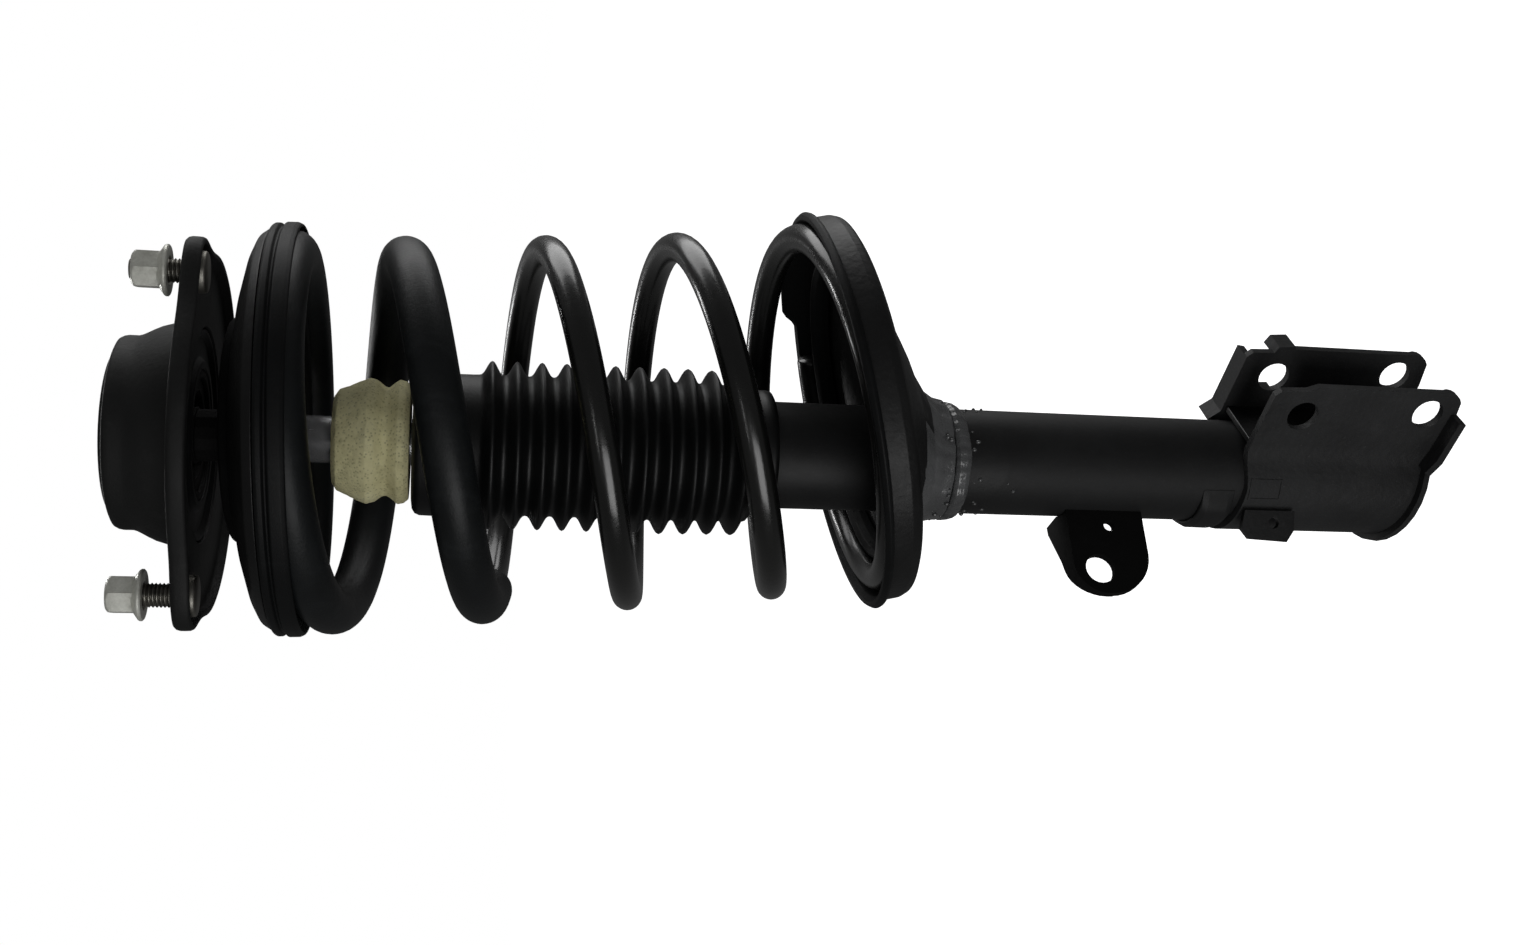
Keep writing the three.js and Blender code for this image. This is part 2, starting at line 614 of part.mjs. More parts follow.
add('hose_bracket', hoseBracket(), bracketPaint, HOSE_LUG_AZIMUTH);

// ---------- stabiliser link tab ----------
// The tab's outline, drawn in by `inset`.
function tabOutline(inset) {
  return shapeOf([
    [22, -TAB_TOP - inset], [50, -TAB_TOP - inset], ...arc(50, -398, 15 - inset, 78, 0, 7),
    ...arc(45, -400, 20 - inset, 0, -88, 9), [22, -TAB_BOTTOM + inset],
  ]);
}

// A sheet with a flange that runs along its upper edge, wide at the tube and gone at the tab's end.
function stabiliserTab() {
  const outline = tabOutline(0);
  pierce(outline, TAB_HOLE.reach, -TAB_HOLE.depth, TAB_HOLE.r);
  pierce(outline, 31.5, -403, 2.6);
  const across = (shape, from, to) => solid(
    prism(shape, to - from).translate(0, 0, -to).rotateX(Math.PI / 2),
  );
  const sheet = across(outline, -TAB_T / 2, TAB_T / 2);
  const middle = across(tabOutline(TAB_FLANGE_T), -40, 40);
  const edge = across(tabOutline(0), -26, TAB_T / 2).subtract(middle);
  const wedge = shapeOf([
    [8, TAB_T / 2], [65.5, TAB_T / 2], [65.2, -2.4], [61, -4.6], [56, -7], [44, -12], [26, -22.5],
    [8, -24],
  ]);
  const flange = edge.intersect(solid(prism(wedge, 20).translate(0, 0, -TAB_TOP - 18)));
  const tubeRoom = solid(ring(0, TUBE_R + GAP, 360, 440));
  return geometryOf(sheet.add(flange).subtract(tubeRoom));
}

add('stabiliser_tab', stabiliserTab(), bracketPaint, TAB_AZIMUTH);

export default strut;
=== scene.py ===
import math

import bmesh
import bpy
import numpy as np
from mathutils import Matrix, Vector
from mathutils import noise as mnoise


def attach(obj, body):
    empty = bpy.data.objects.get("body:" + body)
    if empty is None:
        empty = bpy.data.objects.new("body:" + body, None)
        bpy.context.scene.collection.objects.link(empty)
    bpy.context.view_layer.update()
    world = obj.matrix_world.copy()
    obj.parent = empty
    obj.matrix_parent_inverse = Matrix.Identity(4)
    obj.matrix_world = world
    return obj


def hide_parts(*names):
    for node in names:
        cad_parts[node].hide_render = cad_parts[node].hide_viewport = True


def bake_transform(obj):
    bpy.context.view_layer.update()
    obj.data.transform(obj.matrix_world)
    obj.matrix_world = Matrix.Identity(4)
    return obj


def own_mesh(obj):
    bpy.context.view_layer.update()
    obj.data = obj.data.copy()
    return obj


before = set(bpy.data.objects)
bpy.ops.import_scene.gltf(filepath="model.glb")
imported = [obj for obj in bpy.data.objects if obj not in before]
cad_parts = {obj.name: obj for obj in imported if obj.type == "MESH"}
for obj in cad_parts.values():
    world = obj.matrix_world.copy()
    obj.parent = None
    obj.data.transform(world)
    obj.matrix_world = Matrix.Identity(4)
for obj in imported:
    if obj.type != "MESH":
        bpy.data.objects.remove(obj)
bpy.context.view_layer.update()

MOUNT, ROD, BODY = "mount", "rod_and_upper_seat", "strut_body"

# Shapes are written in millimetres. A depth is measured down from the face that bolts up against the body.
MM = 0.001
TUBE_R = 24
FIT_R = 24.3           # inside of what sits on the tube
TUBE_END = 549
WRAP_R = 27.8          # outside of the knuckle bracket's wrap
COIL_R = 76            # to the wire's centre
COIL_R_SLEEVED = 75
TOP_WIRE = 41.0        # depth of the wire's centre on the upper seat
END_WIRE = 279.4       # and on the lower seat

# Both seats lean towards one azimuth. Inside radius `still` they stay square to the tube, and outside `free`
# they are tilted in full about the pivot's depth and moved out by the offset.
LEAN_DEGREES = 19
LEAN = math.radians(LEAN_DEGREES)
UPPER = dict(tilt=2, offset=3.5, pivot=38, still=20, free=44)
LOWER = dict(tilt=13, offset=23.5, pivot=285, still=25, free=60)

# ---------------------------------------------------------------- materials


class Nodes:
    """A short way to write a node material."""

    def __init__(self, name):
        self.mat = bpy.data.materials.new(name)
        self.mat.use_nodes = True
        self.tree = self.mat.node_tree
        self.bsdf = self.tree.nodes["Principled BSDF"]
        self.place = self.new("ShaderNodeTexCoord").outputs["Object"]

    def new(self, kind):
        return self.tree.nodes.new(kind)

    def link(self, a, b):
        self.tree.links.new(a, b)

    def stretched(self, scale):
        node = self.new("ShaderNodeMapping")
        node.inputs["Scale"].default_value = scale
        self.link(self.place, node.inputs["Vector"])
        return node.outputs["Vector"]

    def noise(self, scale, detail, rough, where=None):
        node = self.new("ShaderNodeTexNoise")
        node.inputs["Scale"].default_value = scale
        node.inputs["Detail"].default_value = detail
        node.inputs["Roughness"].default_value = rough
        self.link(where or self.place, node.inputs["Vector"])
        return node.outputs["Fac"]

    def cells(self, scale):
        node = self.new("ShaderNodeTexVoronoi")
        node.inputs["Scale"].default_value = scale
        self.link(self.place, node.inputs["Vector"])
        return node.outputs["Distance"]

    def ramp(self, value, stops):
        """A colour for each stop, or one number for a grey."""
        node = self.new("ShaderNodeValToRGB")
        ramp = node.color_ramp
        while len(ramp.elements) < len(stops):
            ramp.elements.new(0.5)
        for element, (at, colour) in zip(ramp.elements, stops):
            element.position = at
            if not hasattr(colour, "__len__"):
                colour = (colour, colour, colour)
            element.color = (*colour, 1.0)
        self.link(value, node.inputs["Fac"])
        return node.outputs["Color"]

    def mix(self, share, a, b, blend="MIX"):
        """Mixes two colours. Each value is another node's output or is fixed."""
        node = self.new("ShaderNodeMix")
        node.data_type = "RGBA"
        node.blend_type = blend
        for socket, value in ((node.inputs[0], share), (node.inputs[6], a), (node.inputs[7], b)):
            if isinstance(value, bpy.types.NodeSocket):
                self.link(value, socket)
            elif hasattr(value, "__len__"):
                socket.default_value = (*value, 1.0)
            else:
                socket.default_value = value
        return node.outputs[2]

    def add(self, a, b, share):
        """a + b * share"""
        node = self.new("ShaderNodeMath")
        node.operation = "MULTIPLY_ADD"
        self.link(b, node.inputs[0])
        node.inputs[1].default_value = share
        self.link(a, node.inputs[2])
        return node.outputs[0]

    def bump(self, height, distance, strength, after=None):
        node = self.new("ShaderNodeBump")
        node.inputs["Distance"].default_value = distance
        node.inputs["Strength"].default_value = strength
        self.link(height, node.inputs["Height"])
        if after is not None:
            self.link(after, node.inputs["Normal"])
        return node.outputs["Normal"]

    def finish(self, colour, rough, normal, **fixed):
        self.link(colour, self.bsdf.inputs["Base Color"])
        self.link(rough, self.bsdf.inputs["Roughness"])
        self.link(normal, self.bsdf.inputs["Normal"])
        for key, value in fixed.items():
            self.bsdf.inputs[key.replace("_", " ")].default_value = value
        return self.mat


def coat_paint(name, dark, light, rough_low, rough_high, orange_peel, coat=0.0, spec=0.5, dust=0.05):
    """Dip or powder coat: patchy depth of colour, dusty film, orange peel and a few pits."""
    n = Nodes(name)
    patches = n.noise(18, 5, 0.6)
    grain = n.noise(420, 3, 0.6)
    base = n.ramp(patches, [(0.3, dark), (0.72, light)])
    dusty = [min(1, c * 2.1 + dust * 0.2) for c in light]
    film = n.mix(0.35, base, dusty)
    specks = n.ramp(n.noise(900, 2, 0.5), [(0.66, 0.0), (0.8, 1.0)])
    colour = n.mix(specks, base, film)
    clouds = n.ramp(n.noise(60, 6, 0.7), [(0.5, 0.0), (0.9, 0.5)])
    colour = n.mix(clouds, colour, film)
    rough = n.ramp(n.add(patches, grain, 0.35), [(0.45, rough_low), (0.95, rough_high)])
    normal = n.bump(n.noise(330, 2, 0.5), orange_peel, 0.5)
    normal = n.bump(n.noise(1500, 2, 0.6), 0.00006, 0.5, normal)
    pits = n.ramp(n.cells(55), [(0.0, 0.0), (0.06, 1.0)])
    normal = n.bump(pits, 0.00012, 0.4, normal)
    return n.finish(colour, rough, normal, Specular_IOR_Level=spec, Coat_Weight=coat, Coat_Roughness=0.16)


def rubber(name, dark, light, rough_low, rough_high, grain=900, depth=0.00018, spec=0.35, streaks=True):
    """Moulded rubber: bloom in soft clouds, fine mould grain and scuffs."""
    n = Nodes(name)
    cloud = n.noise(26, 5, 0.62)
    base = n.ramp(cloud, [(0.3, dark), (0.75, light)])
    scuffs = n.noise(90, 6, 0.7, n.stretched((1.0, 1.0, 0.25)) if streaks else None)
    scuffed = [min(1, c * 1.9 + 0.006) for c in light]
    colour = n.mix(n.ramp(scuffs, [(0.55, 0.0), (0.85, 0.55)]), base, scuffed)
    rough = n.ramp(cloud, [(0.25, rough_low), (0.8, rough_high)])
    normal = n.bump(n.noise(grain, 4, 0.6), depth, 0.55)
    normal = n.bump(n.noise(140, 3, 0.5), 0.00025, 0.3, normal)
    return n.finish(colour, rough, normal, Specular_IOR_Level=spec)


def plated(name, dark, light, rough_low, rough_high, brushed=(1, 1, 1), metallic=1.0, depth=0.00006):
    """Bare or plated metal with machining marks, stains and small dings."""
    n = Nodes(name)
    stain = n.noise(70, 6, 0.65)
    lines = n.noise(900, 3, 0.6, n.stretched(brushed))
    colour = n.ramp(n.add(stain, lines, 0.3), [(0.4, dark), (0.9, light)])
    rough = n.ramp(n.add(stain, lines, 0.5), [(0.4, rough_low), (1.0, rough_high)])
    normal = n.bump(lines, depth, 0.6)
    normal = n.bump(n.noise(240, 4, 0.6), 0.00012, 0.35, normal)
    return n.finish(colour, rough, normal, Metallic=metallic)


def foam_material(name):
    """Cellular foam: pores with painted shade in them, a moulded skin and patches of dirt."""
    n = Nodes(name)
    cloud = n.noise(45, 5, 0.65)
    base = n.ramp(cloud, [(0.25, (0.5, 0.46, 0.24)), (0.55, (0.7, 0.66, 0.38)), (0.85, (0.82, 0.79, 0.52))])
    pores = n.cells(700)
    pore_shade = n.ramp(pores, [(0.12, 0.0), (0.4, 1.0)])
    # Painted shade: the colour is darkened at the pores' centres, where the bump sinks them.
    colour = n.mix(0.4, base, pore_shade, "MULTIPLY")
    grime = n.ramp(n.noise(160, 6, 0.7), [(0.5, 0.0), (0.85, 0.6)])
    colour = n.mix(grime, colour, (0.24, 0.225, 0.12))
    rough = n.ramp(cloud, [(0.2, 0.72), (0.8, 0.9)])
    normal = n.bump(pores, 0.0003, 0.55)
    normal = n.bump(n.noise(320, 5, 0.6), 0.0004, 0.5, normal)
    return n.finish(colour, rough, normal, Specular_IOR_Level=0.3)


FINISHES = {
    "black": coat_paint("mat_black_coat", (0.003, 0.0031, 0.0032), (0.007, 0.0072, 0.0074),
                        0.42, 0.62, 0.00025, spec=0.35),
    "grey": coat_paint("mat_dark_grey_coat", (0.0052, 0.0053, 0.0055), (0.0105, 0.0107, 0.011),
                       0.3, 0.44, 0.00022, spec=0.45),
    "tube": coat_paint("mat_tube_coat", (0.0072, 0.0073, 0.0076), (0.0145, 0.0148, 0.0152),
                       0.5, 0.62, 0.00012, spec=0.3),
    "ear": coat_paint("mat_bracket_coat", (0.0175, 0.0177, 0.0182), (0.034, 0.0344, 0.0352),
                      0.5, 0.68, 0.0005, spec=0.25, dust=0.14),
    "seat": coat_paint("mat_seat_coat", (0.0045, 0.0046, 0.0047), (0.0105, 0.0107, 0.011),
                       0.45, 0.62, 0.00045, spec=0.3, dust=0.1),
    "gloss": coat_paint("mat_gloss_coat", (0.003, 0.0031, 0.003), (0.0072, 0.0074, 0.0068),
                        0.22, 0.36, 0.00014, coat=0.4, spec=0.45, dust=0.04),
    # Near-black steel: painted shade for the bearing parts and housing deep in the mount's underside.
    "under": coat_paint("mat_dark_steel_painted_shade", (0.0012, 0.0012, 0.0012), (0.003, 0.003, 0.003),
                        0.6, 0.8, 0.0003, spec=0.15),
    # The weld's light grey is partly the weld metal's own colour and partly a painted highlight standing in
    # for the shine on its ripples.
    "weld": coat_paint("mat_weld_and_painted_highlight", (0.026, 0.0264, 0.027), (0.16, 0.163, 0.167),
                       0.2, 0.36, 0.0008, spec=0.7, dust=0.25),
    "cup": rubber("mat_cup", (0.0036, 0.0039, 0.0038), (0.0075, 0.008, 0.0078), 0.6, 0.78,
                  grain=520, depth=0.0003, streaks=False),
    "rubber": rubber("mat_rubber", (0.0024, 0.0027, 0.0029), (0.0054, 0.006, 0.0063), 0.5, 0.66, spec=0.18),
    "sleeve": rubber("mat_sleeve", (0.0042, 0.005, 0.0054), (0.0094, 0.0112, 0.012), 0.42, 0.56,
                     grain=700, depth=0.00022, spec=0.26),
    "boot": rubber("mat_boot", (0.0016, 0.0019, 0.002), (0.0036, 0.0041, 0.0043), 0.42, 0.58,
                   grain=1100, depth=0.00014, spec=0.32),
    "nylon": rubber("mat_nylon", (0.52, 0.5, 0.42), (0.66, 0.63, 0.55), 0.4, 0.55,
                    grain=500, depth=0.0001, spec=0.5),
    "zinc": plated("mat_zinc", (0.5, 0.5, 0.44), (0.92, 0.93, 0.86), 0.26, 0.44, metallic=0.35),
    "stud": plated("mat_stud", (0.12, 0.115, 0.1), (0.3, 0.29, 0.26), 0.34, 0.55),
    "steel": plated("mat_steel", (0.3, 0.3, 0.3), (0.5, 0.5, 0.5), 0.25, 0.45, brushed=(1, 1, 8)),
    "chrome": plated("mat_rod", (0.5, 0.5, 0.51), (0.78, 0.78, 0.79), 0.14, 0.3,
                     brushed=(0.2, 0.2, 6), metallic=0.75, depth=0.00002),
    "foam": foam_material("mat_foam"),
}

# ---------------------------------------------------------------- pieces from points and faces


def object_from(name, bm):
    """Moves a bmesh into an object of its own."""
    mesh = bpy.data.meshes.new(name)
    bm.to_mesh(mesh)
    bm.free()
    return bpy.data.objects.new(name, mesh)


def bake(obj):
    """Applies the object's modifiers to its mesh."""
    graph = bpy.context.evaluated_depsgraph_get()
    done = bpy.data.meshes.new_from_object(obj.evaluated_get(graph))
    obj.modifiers.clear()
    obj.data = done


def roll_edges(obj, width):
    """Rounds the edges between the object's faces."""
    bevel = obj.modifiers.new("bevel", "BEVEL")
    bevel.width = width * MM
    bevel.segments = 3
    bevel.limit_method = "ANGLE"
    bevel.angle_limit = math.radians(32)
    bake(obj)


def dress(obj, finish, body=None, node=None, sharp=38, rolled=0.0):
    """Puts a piece in the scene with its finish, its body and the CAD node that it stands for."""
    bpy.context.scene.collection.objects.link(obj)
    obj.data.materials.clear()
    obj.data.materials.append(FINISHES[finish])
    if rolled:
        roll_edges(obj, rolled)
    obj.data.polygons.foreach_set("use_smooth", [True] * len(obj.data.polygons))
    obj.data.set_sharp_from_angle(angle=math.radians(sharp))
    if body:
        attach(obj, body)
    if node:
        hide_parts(node)
    return obj


def make(name, co, faces, finish, body, node, sharp=38):
    """A closed piece from millimetre points, with the points that lie on one another joined."""
    bm = bmesh.new()
    verts = [bm.verts.new(Vector(p) * MM) for p in co]
    for face in faces:
        bm.faces.new([verts[i] for i in face])
    bmesh.ops.remove_doubles(bm, verts=bm.verts, dist=2e-6)
    bmesh.ops.recalc_face_normals(bm, faces=bm.faces)
    if sum(f.calc_center_median().dot(f.normal) * f.calc_area() for f in bm.faces) < 0:
        bmesh.ops.reverse_faces(bm, faces=bm.faces)
    return dress(object_from(name, bm), finish, body, node, sharp)


# ---------------------------------------------------------------- outlines and surfaces


def smoothstep(x, a, b):
    t = np.clip((x - a) / (b - a), 0, 1)
    return t * t * (3 - 2 * t)


def arc(cx, cy, r, start, end, steps):
    """Points of an arc from one angle to another, in degrees."""
    angles = [math.radians(start + (end - start) * i / steps) for i in range(steps + 1)]
    return [(cx + r * math.cos(a), cy + r * math.sin(a)) for a in angles]


def fillet(points, radius, steps=3):
    """Rounds each corner of a closed outline. A point's third number, if it has one, is its own radius."""
    on_axis, straight, most_of_side = 1e-6, math.radians(172), 0.45
    out = []
    for i, point in enumerate(points):
        following = points[(i + 1) % len(points)]
        corner, before, after = (np.array(p[:2], float) for p in (point, points[i - 1], following))
        back, ahead = before - corner, after - corner
        back_length, ahead_length = np.linalg.norm(back), np.linalg.norm(ahead)
        back, ahead = back / back_length, ahead / ahead_length
        turn = math.acos(max(-1, min(1, float(back @ ahead))))
        if corner[0] < on_axis or turn > straight:
            out.append(tuple(corner))
            continue
        r = point[2] if len(point) > 2 else radius
        cut = min(r / math.tan(turn / 2), most_of_side * back_length, most_of_side * ahead_length)
        start, end = corner + back * cut, corner + ahead * cut
        for k in range(steps + 1):
            t = k / steps
            out.append(tuple((1 - t) ** 2 * start + 2 * t * (1 - t) * corner + t * t * end))
    return out


def dense(points, step):
    """Adds points along the long sides of a closed outline."""
    out = []
    for p, q in zip(points, points[1:] + points[:1]):
        parts = max(1, int(math.dist(p, q) / step))
        out += [tuple(np.array(p) + (np.array(q) - np.array(p)) * k / parts) for k in range(parts)]
    return out


def around(count):
    """Evenly spaced angles over one full turn."""
    return np.linspace(0, 2 * math.pi, count, endpoint=False)


def skin(rows, columns, closed=True):
    """Faces between neighbouring rows of points, each a loop. `closed` joins the last row to the first."""
    return [(i * columns + k, i * columns + (k + 1) % columns,
             (i + 1) % rows * columns + (k + 1) % columns, (i + 1) % rows * columns + k)
            for i in range(rows if closed else rows - 1) for k in range(columns)]


def lathe(outline, segments):
    """Points and faces of a closed (radius, depth) outline turned about Z."""
    angles = around(segments)
    radii, depths = np.array(outline, float).T
    co = np.stack([
        np.outer(np.cos(angles), radii),
        np.outer(np.sin(angles), radii),
        np.tile(-depths, (segments, 1)),
    ], -1).reshape(-1, 3)
    return co, skin(segments, len(outline))


def looped(rows, angles):
    """Points and faces of a closed section round Z: a loop for each height, whose radius may vary."""
    co = np.array([(r * np.cos(angles), r * np.sin(angles), h + 0 * angles) for r, h in rows])
    return co.transpose(0, 2, 1).reshape(-1, 3), skin(len(rows), len(angles))


def polar(radius, heights, segments):
    """A closed body whose side is radius(azimuth, height), shut by a fan at both ends."""
    angles = around(segments)
    co = [(radius(a, h) * math.cos(a), radius(a, h) * math.sin(a), h) for h in heights for a in angles]
    co += [(0, 0, heights[0]), (0, 0, heights[-1])]
    low, high = len(co) - 2, len(co) - 1
    top_row = (len(heights) - 1) * segments
    faces = skin(len(heights), segments, closed=False)
    for i in range(segments):
        j = (i + 1) % segments
        faces.append((low, j, i))
        faces.append((high, top_row + i, top_row + j))
    return np.array(co, float), faces


def from_axis(co):
    return np.hypot(co[:, 0], co[:, 1])


def leaned(co, tilt, offset, pivot, still, free):
    """Tilts a seat and moves it off the strut axis, but leaves what lies inside radius `still`."""
    co = co.copy()
    cos_lean, sin_lean = math.cos(LEAN), math.sin(LEAN)
    share = smoothstep(from_axis(co), still, free)
    height = co[:, 2] + pivot
    reach = co[:, 0] * cos_lean + co[:, 1] * sin_lean
    angle = math.radians(tilt) * share
    shift = reach * (np.cos(angle) - 1) - height * np.sin(angle) + offset * share
    co[:, 0] += shift * cos_lean
    co[:, 1] += shift * sin_lean
    co[:, 2] = reach * np.sin(angle) + height * np.cos(angle) - pivot
    return co


def lumps(co, shares, size, height, seed):
    """Moves points to or from the strut axis by smooth seeded noise, each by its share of the height."""
    out = co.copy()
    for i, (x, y, z) in enumerate(co):
        if shares[i] <= 0:
            continue
        r = math.hypot(x, y)
        push = mnoise.noise(Vector((x / size + seed, y / size - seed, z / size))) * height * shares[i]
        out[i, 0] += x / r * push
        out[i, 1] += y / r * push
    return out


def spun(co, azimuth, out=0.0, up=0.0):
    """Moves points out along X and up, and turns them about Z."""
    a = math.radians(azimuth)
    x, y, z = co[:, 0] + out, co[:, 1], co[:, 2] + up
    return np.stack([x * math.cos(a) - y * math.sin(a), x * math.sin(a) + y * math.cos(a), z], -1)


def turned(name, outline, radius, segments, finish, body, node):
    """A plain turned piece with rounded corners."""
    co, faces = lathe(fillet(outline, radius), segments)
    make(name, co, faces, finish, body, node)


# ---------------------------------------------------------------- fasteners

STUD_CIRCLE_R = 74.4
STUD_AZIMUTH = 5
NUT_LIFTS = (6, 11.6, 9)


def stud():
    """A rolled M10 thread on a plain head under the plate."""
    thread_r, pitch, depth, top, tip, rows = 5.0, 1.5, 0.62, 21.0, 1.4, 140
    head = {-8.5: 7.6, -8.2: 8.2, -7.4: 8.5, -4.0: 8.5, -3.92: thread_r}

    def radius(a, h):
        if h in head:
            return head[h]
        wave = abs(((h / pitch - a / (2 * math.pi)) % 1.0) * 2 - 1)
        point = min(1.0, (top - h) / tip)
        return (thread_r - depth * min(1, 1.5 * wave)) * (0.82 + 0.18 * point)

    return polar(radius, sorted(head) + [top * i / rows for i in range(rows + 1)], 32)


def nut(flats, height, flange_r, bore_r):
    """A hexagon flange nut: turned corners, a conical flange with a rounded rim and an open bore."""
    angles = around(96)
    hexagon = flats / 2 / np.cos(angles % (math.pi / 3) - math.pi / 6)
    corner = flats / math.sqrt(3)
    rim_r, rim_top, skirt_height, chamfer = flange_r - 0.35, 1.75, 2.2, 2.4
    rows = [(bore_r, 1.0), (bore_r + 1, 0.0), (flange_r - 0.5, 0.0), (flange_r, 0.45), (flange_r, 1.2)]
    rows.append((rim_r, rim_top))
    for t in (0.2, 0.4, 0.6, 0.8, 1.0):
        skirt = rim_r - (rim_r - flats * 0.49) * t
        rows.append((np.maximum(hexagon, skirt), rim_top + skirt_height * t))
    top = height - chamfer
    rows += [(hexagon, 5.2), (hexagon, top - 0.3)]
    for t in np.linspace(0, 1, 10):
        cone = corner + 0.2 - (corner + 0.2 - flats / 2 + 0.8) * t ** 1.6
        rows.append((np.minimum(hexagon, cone), top + chamfer * t))
    rows += [(bore_r + 1.1, height), (bore_r, height - 1.1)]
    return looped(rows, angles)


for i, lift in enumerate(NUT_LIFTS):
    azimuth = STUD_AZIMUTH - 120 * i
    co, faces = stud()
    co = spun(co, azimuth, STUD_CIRCLE_R)
    make(f"stud_{i + 1}", co, faces, "stud", MOUNT, f"body_stud_{i + 1}", sharp=50)
    co, faces = nut(flats=14, height=13.9, flange_r=10.35, bore_r=5.15)
    co = spun(spun(co, 9 * i), azimuth, STUD_CIRCLE_R, lift)
    make(f"flange_nut_{i + 1}", co, faces, "zinc", MOUNT, f"body_nut_{i + 1}", sharp=26)
co, faces = nut(flats=22, height=10.5, flange_r=13.2, bore_r=7.2)
make("rod_end_nut", co + (0, 0, 17), faces, "zinc", ROD, "rod_nut", sharp=26)

# ---------------------------------------------------------------- top mount

PLATE = [  # radius, height, share of the lobes
    (45.6, -3.6, 0), (46.6, -3.6, 0), (56, -3.6, 0.05), (64, -3.6, 0.5), (71.2, -3.6, 1), (72.2, -3.9, 1),
    (72.8, -4.7, 1), (73, -6.6, 1), (73.3, -7.4, 1), (74.4, -7.6, 1), (75.4, -7.3, 1), (75.9, -6.3, 1),
    (76, -4.5, 1), (76, -2.6, 1), (75.6, -1.2, 1), (74.7, -0.3, 1), (73.2, 0, 1), (64, 0, 0.5),
    (56, 0, 0.05), (51, 0, 0), (49.6, 0.35, 0), (48.6, 1.4, 0), (48.1, 3, 0), (47.5, 5, 0),
    (46.2, 9, 0), (45, 13, 0), (43.6, 16, 0), (42.2, 18.6, 0), (41.1, 20.8, 0), (40.6, 22.6, 0),
    (40.6, 26.4, 0), (40.3, 28, 0), (39.6, 29.3, 0), (38.3, 29.9, 0), (35.6, 30, 0), (35, 29.4, 0),
    (35, 27.8, 0), (35.4, 27.2, 0), (37.4, 26.7, 0), (37.7, 26, 0), (38, 20.6, 0), (38.5, 19.2, 0),
    (42.2, 12, 0), (44.4, 5.5, 0), (45, 1, 0), (45.4, -3, 0),
]


def lobed_plate():
    """A turned section whose rim reaches out to each of the three studs."""
    lobe_height, lobe_width = 12.4, 13
    angles = around(240)
    off_lobe = np.abs((np.degrees(angles) + 60) % 120 - 60)
    lobe = lobe_height * np.exp(-(off_lobe / lobe_width) ** 2)
    return looped([(r + lobe * share, h) for r, h, share in PLATE], angles)


co, faces = lobed_plate()
make("mount_pressing", spun(co, STUD_AZIMUTH), faces, "cup", MOUNT, "mount_plate", sharp=50)

DUST_CAP = [(0, -30), (29, -29), (31, -27.6), (34.3, -27.6), (34.3, -30.2), (34.5, -30.7), (33.2, -31.9),
            (20, -32.5), (19, -32.2), (17.5, -32.2), (16.5, -32.6), (0, -32.6)]
MOUNT_RUBBER = [(27.7, 3), (31, 3), (33, 1), (41, 1), (43, 3), (44.6, 3), (44.2, -3.4), (41.8, -11.6),
                (37.5, -20.2), (37.2, -25.4), (27.7, -25.4)]
BEARING_CASE = [(24.3, 2.5), (27.4, 2.5), (27.4, -20.5), (16, -20.5), (16, -17.8), (24.3, -17.8)]
turned("bearing_dust_cap", DUST_CAP, 0.5, 120, "cup", MOUNT, "dust_cap")
turned("mount_rubber_ring", MOUNT_RUBBER, 0.8, 96, "rubber", MOUNT, "mount_rubber")
# The bearing case takes the near-black finish as painted shade under the mount.
turned("bearing_case", BEARING_CASE, 0.5, 96, "under", MOUNT, "bearing_housing")

# ---------------------------------------------------------------- upper spring seat and its rubber

PAN = [(7.3, 15), (43, 15, 2), (46.5, 16, 2.5), (49, 19.5, 2), (64, 22.5, 4), (76.6, 26.2, 5), (82.3, 29, 4),
       (85, 33, 0.5), (83, 33, 0.5), (80.6, 30.7, 3), (75.9, 28.4, 4), (63.5, 24.7, 4), (47.6, 21.6, 1.5),
       (44.6, 18.4, 2), (42, 17.4, 1), (7.3, 17.4, 0.3)]
co, faces = lathe(dense(fillet(PAN, 0.5, 4), 6), 160)
make("upper_seat_pan", leaned(co, **UPPER), faces, "black", ROD, "upper_spring_seat", sharp=60)

PAN_RUBBER = [(62, 24.9), (75.6, 28.8, 2), (80.4, 31.1, 2), (82.6, 33.4, 0.6), (86.2, 33.4, 1.0),
              (87, 34.6, 1.0), (87, 36.4, 0.8), (85.6, 37.3, 0.5), (85.6, 38.0, 0.5), (87.4, 38.9, 0.9),
              (87.4, 43.2, 1.2), (86.6, 45.0, 1.0), (85.4, 45.2, 0.5)]
PAN_RUBBER += arc(75, 41.6, 11.3, 0, -180, 14)
PAN_RUBBER += [(62.4, 42.2, 0.8), (60.4, 41.4, 1.2), (59, 38, 1.5), (59, 26, 1.5)]
co, faces = lathe(dense(fillet(PAN_RUBBER, 0.3, 3), 5), 180)
make("upper_seat_rubber", leaned(co, **UPPER), faces, "rubber", ROD, "upper_seat_isolator", sharp=50)

# ---------------------------------------------------------------- rod, bump stop and boot

PISTON_ROD = [(0, -28.8), (6, -28.8), (7, -27.8), (7, 17.7), (10, 17.7), (10, 292), (6, 292), (6, 326),
              (0, 326)]
turned("ground_rod", PISTON_ROD, 0.4, 96, "chrome", ROD, "piston_rod")

STOP = [(10.3, 56.3, 1), (18.6, 56.3, 1.2), (21.6, 58.2, 1.5), (24.6, 65, 4), (27, 70.7, 1.6),
        (26.2, 73.8, 1.5), (22.6, 78.4, 2.4), (26.7, 83.4, 1.4), (26.2, 86.2, 1), (24.6, 88.3, 1.2),
        (10.3, 88.3, 0.6)]
co, faces = lathe(dense(fillet(STOP, 0.6, 5), 1.2), 144)
stop_side = (from_axis(co) > 12) & (co[:, 2] < -57.5) & (co[:, 2] > -87.5)
co = lumps(co, stop_side, size=6.0, height=0.5, seed=3.1)
co = lumps(co, stop_side, size=1.6, height=0.22, seed=8.4)
make("foam_bump_stop", co, faces, "foam", ROD, "bump_stop", sharp=80)


